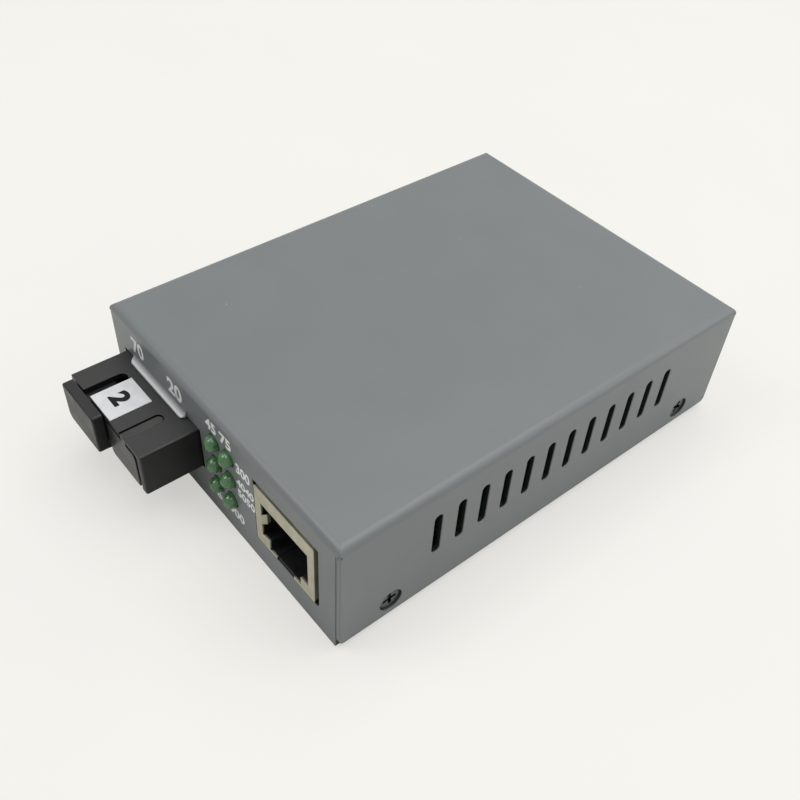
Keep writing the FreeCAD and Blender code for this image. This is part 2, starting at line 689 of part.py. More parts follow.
def make_optic_housing():
    """Moulded shell: open port on the left, closed port on the right, hollow behind."""
    shell = box(optic_left, optic_right, optic_front, optic_rear, optic_bottom, optic_top)
    soft = edges_along(shell, Y, lambda p: p.z > optic_top - 1e-3)
    soft += edges_along(shell, Z, lambda p: p.y < optic_front + 1e-3)
    shell = shell.makeFillet(OPTIC_EDGE, soft)
    tools = [box(port_x - PORT_WIDTH / 2, port_x + PORT_WIDTH / 2, optic_front - 1, port_back + 1,
                 port_low, port_high)]
    tools.append(box(optic_left + OPTIC_WALL, optic_right - OPTIC_WALL, port_back,
                     optic_rear - OPTIC_WALL, optic_bottom - 1, port_high))
    left, right, top = blank_outline(BLANK_FIT)
    bay = box(left, right, optic_front - 1, optic_front + BLANK_DEPTH + BLANK_FIT, optic_bottom - 1, top)
    tools.append(rounded(bay, Y, BLANK_ROUNDING, lambda p: p.z > optic_top - 2 and p.x > blank_x))
    tools.append(key_slot(port_x, KEY_WIDTH, key_end, port_high - 1, optic_top + 1))
    tools.append(key_slot(blank_x, BLANK_KEYWAY, key_end, top - 0.5, optic_top + 1))
    groove_right = left + BLANK_FIT
    tools.append(box(groove_right - NOSE_GROOVE_WIDTH, groove_right, optic_front - 1, front - 0.5,
                     optic_bottom - 1, optic_bottom + NOSE_GROOVE_DEPTH))
    return cut(shell, tools)


def blank_block(y0, y1, rebate):
    """Stretch of the blanking insert with its top right and bottom left edges rounded."""
    left, right, top = blank_outline(0)
    block = box(left, right - rebate, y0, y1, optic_bottom, top - rebate)
    return rounded(block, Y, BLANK_ROUNDING, lambda p: (p.x > blank_x) == (p.z > port_z))


def make_blank_insert():
    """Block that closes the right-hand port: a smaller face, a snug body and a key in the keyway."""
    step, end = optic_front + BLANK_REBATE_DEPTH, optic_front + BLANK_DEPTH
    top = blank_outline(0)[2]
    face = blank_block(optic_front, step, BLANK_REBATE)
    body = blank_block(step, end, 0)
    key = key_slot(blank_x + KEY_SHIFT, BLANK_KEYWAY - 2 * KEY_GAP, key_end - KEY_GAP,
                   top - BLANK_REBATE - 0.5, optic_top - BLANK_FIT / 2)
    key = key.common(box(optic_left, optic_right, optic_front, end, optic_bottom, optic_top))
    return fused([face, body, key])


def make_optic_base():
    """Plate under the transceiver with two mounting posts."""
    left, right = optic_left + OPTIC_WALL + LATCH_FIT, optic_right - OPTIC_WALL - LATCH_FIT
    plate = box(left, right, port_back + LATCH_FIT, optic_rear - OPTIC_WALL - LATCH_FIT,
                optic_bottom, optic_bottom + OPTIC_BASE_THICKNESS)
    posts = []
    for side in (-1, 1):
        x = OPTIC_X + side * OPTIC_POST_SPACING / 2
        posts.append(rod((x, optic_post_y, board_top), Z, OPTIC_POST_SHOULDER / 2, OPTIC_LIFT + 0.3))
        posts.append(rod((x, optic_post_y, pin_tip), Z, OPTIC_POST_DIAMETER / 2,
                         board_top - pin_tip + 0.5))
    half = OPTIC_PIN_SIZE / 2 + PIN_HOLE_GAP
    holes = [box(x - half, x + half, optic_pin_y - half, optic_pin_y + half,
                 optic_bottom - 1, optic_bottom + OPTIC_BASE_THICKNESS + 1) for x in optic_pin_columns()]
    return cut(fused([plate] + posts), holes)


def make_latch_insert():
    """Plate at the back of the open port with two hooked arms and the sleeve's tube."""
    half = PORT_WIDTH / 2 - LATCH_FIT
    plate_front = port_back - LATCH_PLATE
    plate = box(port_x - half, port_x + half, plate_front, port_back,
                port_low + LATCH_FIT, port_high - LATCH_FIT)
    tube = rod((port_x, plate_front - SLEEVE_LENGTH + LATCH_PLATE + 1, port_z), Y, SLEEVE_TUBE / 2,
               SLEEVE_LENGTH - LATCH_PLATE)
    arms = []
    tip = plate_front - LATCH_ARM_LENGTH
    for side in (-1, 1):
        out = side * (LATCH_ARM_OFFSET + LATCH_ARM_THICKNESS / 2)
        near = side * (LATCH_ARM_OFFSET - LATCH_ARM_THICKNESS / 2)
        hook = near - side * LATCH_HOOK
        outline = [(out, plate_front + 1), (out, tip), (near, tip), (hook, tip + 0.7), (near, tip + 1.4),
                   (near, plate_front + 1)]
        points = [(port_x + x, y, port_z - LATCH_ARM_HEIGHT / 2) for x, y in outline]
        arms.append(prism(points, V(0, 0, LATCH_ARM_HEIGHT)))
    body = fused([plate, tube] + arms)
    return body.cut(rod((port_x, plate_front - SLEEVE_LENGTH, port_z), Y,
                        SLEEVE_OUTER / 2 + THREAD_CLEARANCE, SLEEVE_LENGTH + LATCH_PLATE + 2))


def make_ferrule_sleeve():
    """Split ceramic sleeve that takes the fibre's ferrule."""
    start = (port_x, port_back - SLEEVE_LENGTH, port_z)
    sleeve = rod(start, Y, SLEEVE_OUTER / 2, SLEEVE_LENGTH)
    sleeve = sleeve.cut(rod((port_x, start[1] - 1, port_z), Y, SLEEVE_BORE / 2, SLEEVE_LENGTH + 2))
    slit = box(port_x - 0.1, port_x + 0.1, start[1] - 1, port_back + 1, port_z, port_z + SLEEVE_OUTER)
    return sleeve.cut(slit)


def make_optical_body():
    """Metal barrel behind the port, with a flat for the side detector."""
    barrel = rod((port_x, port_back, port_z), Y, OPTIC_BARREL_DIAMETER / 2, OPTIC_BARREL_LENGTH)
    stub = rod((port_x, port_back - OPTIC_STUB, port_z), Y, SLEEVE_BORE / 2 - THREAD_CLEARANCE,
               OPTIC_STUB + OPTIC_BARREL_COLLAR)
    flat = box(port_x + OPTIC_BARREL_FLAT, port_x + OPTIC_BARREL_DIAMETER, port_back + OPTIC_BARREL_COLLAR,
               port_back + OPTIC_BARREL_LENGTH + 1,
               port_z - OPTIC_BARREL_DIAMETER, port_z + OPTIC_BARREL_DIAMETER)
    return barrel.fuse(stub).cut(flat).removeSplitter()


def optic_can(start, direction):
    """Capped metal can on a wider header, seated on the barrel."""
    header = Part.makeCylinder(OPTIC_CAN_DIAMETER / 2, 1.0, start, direction)
    cap_start = start + direction * 1.0
    cap = Part.makeCylinder(OPTIC_CAN_DIAMETER / 2 - 0.5, OPTIC_CAN_LENGTH - 1.0, cap_start, direction)
    return header.fuse(cap)


def make_laser_can():
    return optic_can(V(port_x, port_back + OPTIC_BARREL_LENGTH, port_z), Y)


def make_detector_can():
    middle = port_back + (OPTIC_BARREL_COLLAR + OPTIC_BARREL_LENGTH) / 2
    return optic_can(V(port_x + OPTIC_BARREL_FLAT, middle, port_z), X)


def make_optic_board():
    """Small board behind the optics, carried by the nine pins."""
    gap = 2 * LATCH_FIT
    board_front = port_back + OPTIC_BARREL_LENGTH + OPTIC_CAN_LENGTH + 0.3
    board = box(optic_left + OPTIC_WALL + gap, optic_right - OPTIC_WALL - gap, board_front,
                optic_rear - OPTIC_WALL - gap, optic_board_z, optic_board_z + OPTIC_BOARD_THICKNESS)
    half = OPTIC_PIN_SIZE / 2 + PIN_HOLE_GAP
    holes = [box(x - half, x + half, optic_pin_y - half, optic_pin_y + half,
                 optic_board_z - 1, optic_board_z + 2 * OPTIC_BOARD_THICKNESS) for x in optic_pin_columns()]
    return cut(board, holes)


def make_optic_pins():
    half = OPTIC_PIN_SIZE / 2
    return group([box(x - half, x + half, optic_pin_y - half, optic_pin_y + half,
                      pin_tip, optic_board_z + OPTIC_BOARD_THICKNESS + 0.3) for x in optic_pin_columns()])


def make_label():
    """Paper label on the transceiver's roof."""
    start = optic_front + LABEL_SETBACK
    return box(LABEL_X - LABEL_WIDTH / 2, LABEL_X + LABEL_WIDTH / 2, start, start + LABEL_DEPTH,
               optic_top, optic_top + LABEL_THICKNESS)


def make_dust_plug():
    """Plug for the open port: a flange and a hollow spigot."""
    seat = optic_front - CAP_SEAT_GAP
    centre_x, centre_z = port_x + CAP_SHIFT_X, port_z + CAP_SHIFT_Z
    flange = box(centre_x - CAP_WIDTH / 2, centre_x + CAP_WIDTH / 2, seat - CAP_THICKNESS, seat,
                 centre_z - CAP_HEIGHT / 2, centre_z + CAP_HEIGHT / 2)
    flange = rounded(flange, Y, CAP_LOW_CORNER, lambda p: p.x < centre_x and p.z < centre_z)
    flange = rounded(flange, Y, CAP_CORNER, lambda p: max(p.x - centre_x, p.z - centre_z) > CAP_HEIGHT / 2 - 0.01)
    face_edges = [e for e in flange.Edges if abs(e.CenterOfMass.y - (seat - CAP_THICKNESS)) < 1e-3]
    flange = flange.makeFillet(CAP_EDGE, face_edges)
    half = PORT_WIDTH / 2 - CAP_SPIGOT_FIT
    low, high = port_low + CAP_SPIGOT_FIT, port_high - CAP_SPIGOT_FIT
    end = seat + CAP_SPIGOT_LENGTH
    spigot = box(port_x - half, port_x + half, seat - CAP_THICKNESS / 2, end, low, high)
    hollow = box(port_x - half + CAP_SPIGOT_WALL, port_x + half - CAP_SPIGOT_WALL, seat, end + 1,
                 low + CAP_SPIGOT_WALL, high - CAP_SPIGOT_WALL)
    return fused([flange, spigot]).cut(hollow)


# ---------------------------------------------------------------- indicator lamps
def lamp_drop_y(row):
    """Where a row's leads turn down to the board; the top row turns furthest back."""
    return lamp_back + LAMP_HOLDER_DEPTH + 0.8 + (len(lamp_rows) - 1 - row) * LAMP_LEAD_STEP


def make_lamp(x, z):
    """Round-nosed lamp with a rim at its back."""
    radius = LAMP_DIAMETER / 2
    dome = Part.makeSphere(radius, V(x, lamp_tip + radius, z))
    barrel = rod((x, lamp_tip + radius, z), Y, radius, LAMP_LENGTH - radius)
    rim = rod((x, lamp_back - LAMP_RIM, z), Y, LAMP_RIM_DIAMETER / 2, LAMP_RIM)
    return fused([dome, barrel, rim])


def make_lamp_holder():
    """Spacer block that stands on the board behind the lamps."""
    reach = LAMP_RIM_DIAMETER / 2 + LAMP_HOLDER_MARGIN
    block = box(lamp_columns[0] - reach, lamp_columns[-1] + reach, lamp_back,
                lamp_back + LAMP_HOLDER_DEPTH, board_top, lamp_rows[0] + reach)
    half = LAMP_LEAD / 2 + PIN_HOLE_GAP
    holes = []
    for x in lamp_columns:
        for z in lamp_rows:
            for side in (-1, 1):
                middle = x + side * LAMP_LEAD_SPACING / 2
                holes.append(box(middle - half, middle + half, lamp_back - 1,
                                 lamp_back + LAMP_HOLDER_DEPTH + 1, z - half, z + half))
    return cut(block, holes)


def make_lamp_leads():
    """Two bent leads behind each lamp."""
    leads = []
    half = LAMP_LEAD / 2
    for row, z in enumerate(lamp_rows):
        drop = lamp_drop_y(row)
        outline = [(lamp_back, z - half), (drop - half, z - half), (drop - half, pin_tip),
                   (drop + half, pin_tip), (drop + half, z + half), (lamp_back, z + half)]
        for x in lamp_columns:
            for side in (-1, 1):
                leads.append(lead(outline, x + side * LAMP_LEAD_SPACING / 2, LAMP_LEAD))
    return group(leads)


# ---------------------------------------------------------------- power inlet
def inlet_spring_y():
    return inlet_back - INLET_BORE_DEPTH + 1.0


def make_inlet_housing():
    """Moulded block with a round socket facing the rear panel."""
    block = box(INLET_X - INLET_WIDTH / 2, INLET_X + INLET_WIDTH / 2, inlet_inner, inlet_back,
                board_top, board_top + INLET_HEIGHT)
    bore = rod((INLET_X, inlet_back - INLET_BORE_DEPTH, inlet_z), Y, INLET_BORE / 2, INLET_BORE_DEPTH + 1)
    pin = rod((INLET_X, inlet_inner - 1, inlet_z), Y, INLET_PIN_DIAMETER / 2 + THREAD_CLEARANCE,
              INLET_DEPTH)
    half = INLET_SPRING_WIDTH / 2 + PIN_HOLE_GAP
    leg = inlet_spring_y()
    strip = box(INLET_X - half, INLET_X + half, leg - INLET_LUG, inlet_back - 1.0,
                inlet_z - INLET_BORE / 2 - 2 * INLET_SPRING_THICKNESS, inlet_z)
    slot = box(INLET_X - half, INLET_X + half, leg - INLET_LUG, leg + INLET_LUG,
               board_top - 1, inlet_z)
    return cut(block, [bore, pin, strip, slot])


def make_inlet_pin():
    """Centre pin with its solder lug behind the housing."""
    length = INLET_DEPTH - INLET_PIN_RECESS
    pin = rod((INLET_X, inlet_inner - INLET_LUG / 2, inlet_z), Y, INLET_PIN_DIAMETER / 2,
              length + INLET_LUG / 2)
    pin = pin.makeChamfer(INLET_PIN_DIAMETER * 0.2, [e for e in pin.Edges if e.CenterOfMass.y > inlet_back - 1])
    half = INLET_SPRING_WIDTH / 2
    lug = box(INLET_X - half, INLET_X + half, inlet_inner - INLET_LUG, inlet_inner,
              pin_tip, inlet_z + half)
    return fused([pin, lug])


def make_inlet_spring():
    """Side contact: a strip along the bottom of the socket with a leg into the board."""
    thick = INLET_SPRING_THICKNESS
    low = inlet_z - INLET_BORE / 2 - thick / 2
    leg = inlet_spring_y()
    end = inlet_back - 1.5
    middle = (leg + end) / 2
    outline = [(leg - thick / 2, pin_tip), (leg + thick / 2, pin_tip), (leg + thick / 2, low),
               (middle, low + thick), (end, low), (end, low + thick), (middle, low + 2 * thick),
               (leg - thick / 2, low + thick)]
    return lead(outline, INLET_X, INLET_SPRING_WIDTH)


# ---------------------------------------------------------------- parts on the board
def gull_leads(x, y, half_x, count, pitch, rise):
    """Rows of bent leads along the two long sides of a moulded part."""
    leads = []
    thick = LEAD_THICKNESS
    for side in (-1, 1):
        for i in range(count):
            along = y + (i - (count - 1) / 2) * pitch
            reach = half_x + LEAD_SPREAD
            outline = [(half_x, rise), (half_x, rise - thick), (half_x + thick, rise - thick),
                       (half_x + thick, 0), (reach, 0), (reach, thick), (half_x + 2 * thick, thick),
                       (half_x + 2 * thick, rise)]
            points = [(x + side * px, along - LEAD_WIDTH / 2, board_top + pz) for px, pz in outline]
            leads.append(prism(points, V(0, LEAD_WIDTH, 0)))
    return leads


def make_switch_chip():
    half = CHIP_SIZE / 2
    body = box(CHIP_X - half, CHIP_X + half, CHIP_Y - half, CHIP_Y + half,
               board_top, board_top + CHIP_THICKNESS)
    return body.makeChamfer(CHIP_THICKNESS * 0.2,
                            [e for e in body.Edges if e.CenterOfMass.z > board_top + CHIP_THICKNESS - 1e-3])


def make_switch_chip_leads():
    rise = CHIP_THICKNESS * 0.6
    sides = gull_leads(CHIP_X, CHIP_Y, CHIP_SIZE / 2, CHIP_LEADS_PER_SIDE, CHIP_LEAD_PITCH, rise)
    turned = []
    for piece in sides:
        copy = piece.copy()
        copy.rotate(V(CHIP_X, CHIP_Y, 0), Z, 90)
        turned.append(copy)
    return group(sides + turned)


def transformer_place():
    return JACK_X, jack_rear + TRANSFORMER_Y_GAP + TRANSFORMER_WIDTH / 2


def make_transformer():
    x, y = transformer_place()
    body = box(x - TRANSFORMER_LENGTH / 2, x + TRANSFORMER_LENGTH / 2, y - TRANSFORMER_WIDTH / 2,
               y + TRANSFORMER_WIDTH / 2, board_top, board_top + TRANSFORMER_HEIGHT)
    return rounded(body, X, 0.4, lambda p: p.z > board_top + 1)


def make_transformer_leads():
    x, y = transformer_place()
    leads = gull_leads(x, y, TRANSFORMER_WIDTH / 2, TRANSFORMER_LEAD_COUNT, TRANSFORMER_LEAD_PITCH,
                       TRANSFORMER_HEIGHT * 0.4)
    for piece in leads:
        piece.rotate(V(x, y, 0), Z, 90)
    return group(leads)


def make_crystal():
    """Oblong metal can lying flat on its rim."""
    def oblong(length, width, low, height):
        reach = (length - width) / 2
        bar = box(CRYSTAL_X - reach, CRYSTAL_X + reach, CRYSTAL_Y - width / 2, CRYSTAL_Y + width / 2,
                  low, low + height)
        ends = [rod((CRYSTAL_X + s * reach, CRYSTAL_Y, low), Z, width / 2, height) for s in (-1, 1)]
        return fused([bar] + ends)
    rim = oblong(CRYSTAL_LENGTH + 0.8, CRYSTAL_WIDTH + 0.8, board_top, 0.6)
    return rim.fuse(oblong(CRYSTAL_LENGTH, CRYSTAL_WIDTH, board_top + 0.6, CRYSTAL_HEIGHT - 0.6))


def make_capacitor(x, y):
    """Electrolytic can standing on the board."""
    can = rod((x, y, board_top), Z, CAPACITOR_DIAMETER / 2, CAPACITOR_HEIGHT)
    return can.makeChamfer(CAPACITOR_EDGE, [e for e in can.Edges if e.Closed and e.CenterOfMass.z > board_top + 1])


def make_inductor():
    half = INDUCTOR_SIZE / 2
    body = box(INDUCTOR_X - half, INDUCTOR_X + half, INDUCTOR_Y - half, INDUCTOR_Y + half,
               board_top, board_top + INDUCTOR_HEIGHT)
    return rounded(body, Z, INDUCTOR_CORNER)


def make_regulator():
    return box(REGULATOR_X - REGULATOR_LENGTH / 2, REGULATOR_X + REGULATOR_LENGTH / 2,
               REGULATOR_Y - REGULATOR_WIDTH / 2, REGULATOR_Y + REGULATOR_WIDTH / 2,
               board_top, board_top + REGULATOR_HEIGHT)


def make_regulator_leads():
    """Three narrow legs in front and the wide tab behind."""
    edge = REGULATOR_WIDTH / 2
    legs = [box(REGULATOR_X + i * 2.3 - 0.35, REGULATOR_X + i * 2.3 + 0.35, REGULATOR_Y - edge - 1.5,
                REGULATOR_Y - edge, board_top, board_top + 0.3) for i in (-1, 0, 1)]
    tab = box(REGULATOR_X - 1.5, REGULATOR_X + 1.5, REGULATOR_Y + edge, REGULATOR_Y + edge + 1.5,
              board_top, board_top + 0.3)
    return group(legs + [tab])


def make_chip_parts(spots, height):
    half_x, half_y = CHIP_PART_LENGTH / 2, CHIP_PART_WIDTH / 2
    return group([box(x - half_x, x + half_x, y - half_y, y + half_y, board_top, board_top + height)
                  for x, y in spots])


# ---------------------------------------------------------------- all the pieces
pieces = {
    "cover": make_cover(),
    "base_plate": make_base_plate(),
    "cover_screws": make_cover_screws(),
    "board_standoffs": make_standoffs(),
    "board_screws": make_board_screws(),
    "circuit_board": make_board(),
    "rj45_shield": make_jack_shield(),
    "rj45_insert": make_jack_insert(),
    "rj45_contacts": make_jack_contacts(),
    "sc_housing": make_optic_housing(),
    "sc_base": make_optic_base(),
    "sc_blank_insert": make_blank_insert(),
    "sc_latch_insert": make_latch_insert(),
    "ferrule_sleeve": make_ferrule_sleeve(),
    "optical_body": make_optical_body(),
    "laser_can": make_laser_can(),
    "detector_can": make_detector_can(),
    "transceiver_board": make_optic_board(),
    "transceiver_pins": make_optic_pins(),
    "transceiver_label": make_label(),
    "dust_plug": make_dust_plug(),
    "led_holder": make_lamp_holder(),
    "led_leads": make_lamp_leads(),
    "dc_jack_housing": make_inlet_housing(),
    "dc_jack_pin": make_inlet_pin(),
    "dc_jack_spring": make_inlet_spring(),
    "switch_chip": make_switch_chip(),
    "switch_chip_leads": make_switch_chip_leads(),
    "lan_transformer": make_transformer(),
    "lan_transformer_leads": make_transformer_leads(),
    "crystal": make_crystal(),
    "power_inductor": make_inductor(),
    "regulator": make_regulator(),
    "regulator_leads": make_regulator_leads(),
    "chip_resistors": make_chip_parts(RESISTOR_SPOTS, RESISTOR_HEIGHT),
    "chip_capacitors": make_chip_parts(CERAMIC_SPOTS, CERAMIC_HEIGHT),
}
for number, (lamp_x, lamp_z) in enumerate([(x, z) for x in lamp_columns for z in lamp_rows], 1):
    pieces["led_%d" % number] = make_lamp(lamp_x, lamp_z)
for number, spot in enumerate(CAPACITOR_SPOTS, 1):
    pieces["capacitor_%d" % number] = make_capacitor(*spot)

os.makedirs("parts", exist_ok=True)
for name, shape in pieces.items():
    print("%-24s solids %3d  volume %9.2f  valid %s" % (name, len(shape.Solids), shape.Volume, shape.isValid()))
    shape.exportStep("parts/%s.step" % name)
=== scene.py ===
"""Looks of the fibre media converter: powder-coated steel case, plated network jack, moulded
optical transceiver with its dust plug and label, green indicator lamps and printed numbers."""
import math

import bmesh
import bpy
from mathutils import Matrix, Vector


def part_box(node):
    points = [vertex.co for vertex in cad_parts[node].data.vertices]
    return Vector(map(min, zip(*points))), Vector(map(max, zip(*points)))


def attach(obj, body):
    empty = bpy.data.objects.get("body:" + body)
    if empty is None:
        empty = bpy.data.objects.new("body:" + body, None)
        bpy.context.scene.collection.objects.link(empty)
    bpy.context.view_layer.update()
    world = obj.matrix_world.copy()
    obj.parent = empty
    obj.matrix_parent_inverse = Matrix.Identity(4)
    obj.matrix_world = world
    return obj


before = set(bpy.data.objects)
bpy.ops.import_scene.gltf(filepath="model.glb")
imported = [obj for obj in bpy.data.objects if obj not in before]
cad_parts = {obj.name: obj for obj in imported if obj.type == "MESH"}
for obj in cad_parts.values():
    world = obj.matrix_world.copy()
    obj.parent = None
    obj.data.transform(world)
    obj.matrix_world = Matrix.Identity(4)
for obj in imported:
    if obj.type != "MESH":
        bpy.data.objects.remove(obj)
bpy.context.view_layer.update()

MM = 0.001

# camera: the point it looks at, its bearing (0 is in front), height, tilt and distance, how far the case
# sits off the middle of the view, and the lens
LOOK_AT = Vector((0.0, 0.0, 13.0)) * MM
AZIMUTH = math.radians(47.9)
ELEVATION = math.radians(44.84)
ROLL = math.radians(3.97)
DISTANCE = 183.9 * MM
AIM_SHIFT = (4.98 * MM, 8.38 * MM)
LENS = 42.45

# soft boxes: bearing and height in degrees, distance and side in metres, power in watts
SOFT_BOXES = {
    "top_light": (165, 76, 0.9, 1.0, 7.1),
    "side_light": (144, 20, 0.7, 0.5, 1.1),
    "glint_light": (-34, 50, 0.8, 0.34, 1.5),
}

# surroundings: their colour, the light they give, how bright gloss shows them, and the floor's own glow
BACKDROP_HEX = "#f4f3ef"
WORLD_LIGHT = 0.36
WORLD_SHEEN = 0.85
FLOOR_GLOW = 0.6
FLOOR_HALF = 1.6
FLOOR_GAP = 0.02 * MM

# case: its front face lies as far from the middle as its rear face
case_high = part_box("cover")[1]
CASE_FRONT = case_high.y
LIP_START = 0.1 * MM          # the lip turns paler from this far in front of the panel
LIP_FADE = 0.8 * MM           # and fully pale this much further out
# The outer coat's grey ends this far inside the case's outer faces. Beyond it, on the walls of the cut-outs
# and the inside, a dark grey is painted as shade. Under the top it nearly spans the sheet.
SHADE_START_IN_CUTS = 0.15
SHADE_START_UNDER_TOP = 0.95
SHADE_START_OVER_FLOOR = 0.05
inside_high = case_high - Vector((SHADE_START_IN_CUTS, SHADE_START_IN_CUTS, SHADE_START_UNDER_TOP)) * MM
inside_low = Vector((-inside_high.x, -inside_high.y, SHADE_START_OVER_FLOOR * MM))
INSIDE_MIDDLE = (inside_low + inside_high) / 2
INSIDE_HALF = (inside_high - inside_low) / 2

# most values of a noise lie between these two
NOISE_LOW = 0.3
NOISE_HIGH = 0.7

# openness of a point, from 0 to 1, at which painted shade makes a gap fully dark and at which a face is left
# fully bright
GAP_DARK = 0.65
FACE_BRIGHT = 0.92

# upward part of a face's direction from which it begins to take dust and a painted sheen; level faces take
# most
DUST_AND_SHEEN_SLOPE = 0.75

# sockets of a colour Mix node
SHARE, FIRST, SECOND, MIXED = 0, 6, 7, 2


# ---------------------------------------------------------------- colour and nodes
def srgb(hex_text):
    """Linear colour from an sRGB hex value."""
    channels = [int(hex_text[i:i + 2], 16) / 255 for i in (1, 3, 5)]
    linear = [c / 12.92 if c <= 0.04045 else ((c + 0.055) / 1.055) ** 2.4 for c in channels]
    return (*linear, 1.0)


def add(tree, kind, links=None, **settings):
    """Adds one node. settings are its properties; links gives each socket a value or the output it reads."""
    made = tree.nodes.new(kind)
    for name, value in settings.items():
        setattr(made, name, value)
    for socket, value in (links or {}).items():
        if isinstance(value, bpy.types.NodeSocket):
            tree.links.new(value, made.inputs[socket])
        else:
            made.inputs[socket].default_value = value
    return made


def per(millimetres):
    """Pattern scale that gives features of this size on Object coordinates in metres."""
    return 1 / (millimetres * MM)


def blank_material(name):
    """Material with an empty tree, and the Object coordinates that its patterns read."""
    material = bpy.data.materials.new(name)
    material.use_nodes = True
    tree = material.node_tree
    tree.nodes.clear()
    place = add(tree, "ShaderNodeTexCoord").outputs["Object"]
    return material, tree, place


def finished(material, tree, sockets):
    """Gives a material its skin, whose sockets get these values or outputs, and hands it over."""
    skin = add(tree, "ShaderNodeBsdfPrincipled", sockets)
    add(tree, "ShaderNodeOutputMaterial", {"Surface": skin.outputs[0]})
    return material


def tone(tree, place, size, dark, light):
    """Slow wander between two hex colours, as pigment and handling leave on a surface. size is that of
    the patches, in millimetres."""
    noise = add(tree, "ShaderNodeTexNoise", {"Vector": place, "Scale": per(size), "Detail": 4.0})
    spread = add(tree, "ShaderNodeMapRange", {"Value": noise.outputs[0], "From Min": NOISE_LOW,
                                              "From Max": NOISE_HIGH})
    return add(tree, "ShaderNodeMix", {SHARE: spread.outputs[0], FIRST: srgb(dark), SECOND: srgb(light)},
               data_type="RGBA").outputs[MIXED]


def rough_range(tree, place, size, low, high):
    """Roughness that varies in patches of one size, in millimetres."""
    noise = add(tree, "ShaderNodeTexNoise", {"Vector": place, "Scale": per(size), "Detail": 3.0})
    return add(tree, "ShaderNodeMapRange", {"Value": noise.outputs[0], "From Min": NOISE_LOW,
                                            "From Max": NOISE_HIGH, "To Min": low, "To Max": high}).outputs[0]


def grain(tree, place, size, depth, edge=None):
    """Fine bump of one grain size, over edges rounded by a small radius. All three in millimetres."""
    noise = add(tree, "ShaderNodeTexNoise", {"Vector": place, "Scale": per(size), "Detail": 3.0})
    links = {"Height": noise.outputs[0], "Distance": depth * MM, "Strength": 1.0}
    if edge is not None:
        links["Normal"] = add(tree, "ShaderNodeBevel", {"Radius": edge * MM}, samples=6).outputs[0]
    return add(tree, "ShaderNodeBump", links).outputs[0]


def painted_shade_in_gaps(tree, colour, dark, reach):
    """Painted shade: colour that goes dark where other surfaces close in on a point within a reach in
    millimetres.
    """
    nearby = add(tree, "ShaderNodeAmbientOcclusion", {"Distance": reach * MM}, samples=8)
    openness = add(tree, "ShaderNodeMapRange", {"Value": nearby.outputs["AO"], "From Min": GAP_DARK,
                                                "From Max": FACE_BRIGHT})
    return add(tree, "ShaderNodeMix", {SHARE: openness.outputs[0], FIRST: srgb(dark), SECOND: colour},
               data_type="RGBA").outputs[MIXED]


# ---------------------------------------------------------------- case finishes
def pale_grains(tree, place):
    """Mask of the few pale grains in the powder film. Sizes are in millimetres."""
    spacing = 3.2
    radius = 0.144
    present = 0.12            # share of the cells that have their grain
    showing = 0.55            # how far a grain shows through the film
    cells = add(tree, "ShaderNodeTexVoronoi", {"Vector": place, "Scale": per(spacing)})
    discs = add(tree, "ShaderNodeMath", {0: cells.outputs["Distance"], 1: radius / spacing},
                operation="LESS_THAN")
    chance = add(tree, "ShaderNodeSeparateColor", {0: cells.outputs["Color"]})
    chosen = add(tree, "ShaderNodeMath", {0: chance.outputs[0], 1: present}, operation="LESS_THAN")
    grains = add(tree, "ShaderNodeMath", {0: discs.outputs[0], 1: chosen.outputs[0]}, operation="MULTIPLY")
    return add(tree, "ShaderNodeMath", {0: grains.outputs[0], 1: showing}, operation="MULTIPLY").outputs[0]


def unshaded_outer_faces(tree, place):
    """Mask that is 1 on the case's outer faces and 0 inside it and on the walls of its cut-outs, where shade
    is painted.
    """
    # how far out a point lies, as a share of the inside's half sizes
    offset = add(tree, "ShaderNodeVectorMath", {0: place, 1: INSIDE_MIDDLE}, operation="SUBTRACT")
    share = add(tree, "ShaderNodeVectorMath", {0: offset.outputs[0], 1: INSIDE_HALF}, operation="DIVIDE")
    across, along, up = [
        add(tree, "ShaderNodeMath", {0: part}, operation="ABSOLUTE").outputs[0]
        for part in add(tree, "ShaderNodeSeparateXYZ", {0: share.outputs[0]}).outputs]
    widest = add(tree, "ShaderNodeMath", {0: across, 1: along}, operation="MAXIMUM")
    widest = add(tree, "ShaderNodeMath", {0: widest.outputs[0], 1: up}, operation="MAXIMUM")
    return add(tree, "ShaderNodeMath", {0: widest.outputs[0], 1: 1.0}, operation="GREATER_THAN").outputs[0]


def powder_coat():
    """Grey polyester powder coat, sprayed and baked on folded steel: an even sheen over a very fine
    orange peel, with a few pale grains in the film. The formed lip in front turns paler the further it stands
    out from the panel, and the inside of the case and the walls of its cut-outs are painted dark as shade."""
    material, tree, place = blank_material("powder_coat_grey")
    grey = tone(tree, place, 14.0, "#6c7173", "#6f7476")
    speckled = add(tree, "ShaderNodeMix", {SHARE: pale_grains(tree, place), FIRST: grey,
                                           SECOND: srgb("#b9bebe")}, data_type="RGBA")
    axes = add(tree, "ShaderNodeSeparateXYZ", {0: place})
    forward = add(tree, "ShaderNodeMath", {0: axes.outputs[1], 1: -1.0}, operation="MULTIPLY")
    paler_outward = add(tree, "ShaderNodeMapRange", {"Value": forward.outputs[0], "From Min": CASE_FRONT + LIP_START,
                                              "From Max": CASE_FRONT + LIP_START + LIP_FADE})
    outside = add(tree, "ShaderNodeMix", {SHARE: paler_outward.outputs[0], FIRST: speckled.outputs[MIXED],
                                          SECOND: srgb("#d5d8db")}, data_type="RGBA")
    # painted shade: dark grey inside the case and on the walls of its cut-outs
    colour = add(tree, "ShaderNodeMix", {SHARE: unshaded_outer_faces(tree, place), FIRST: srgb("#232527"),
                                         SECOND: outside.outputs[MIXED]}, data_type="RGBA")
    return finished(material, tree, {
        "Base Color": colour.outputs[MIXED], "IOR": 1.5,
        "Roughness": rough_range(tree, place, 5.0, 0.36, 0.40),
        "Normal": grain(tree, place, 0.55, 0.012, edge=0.3)})


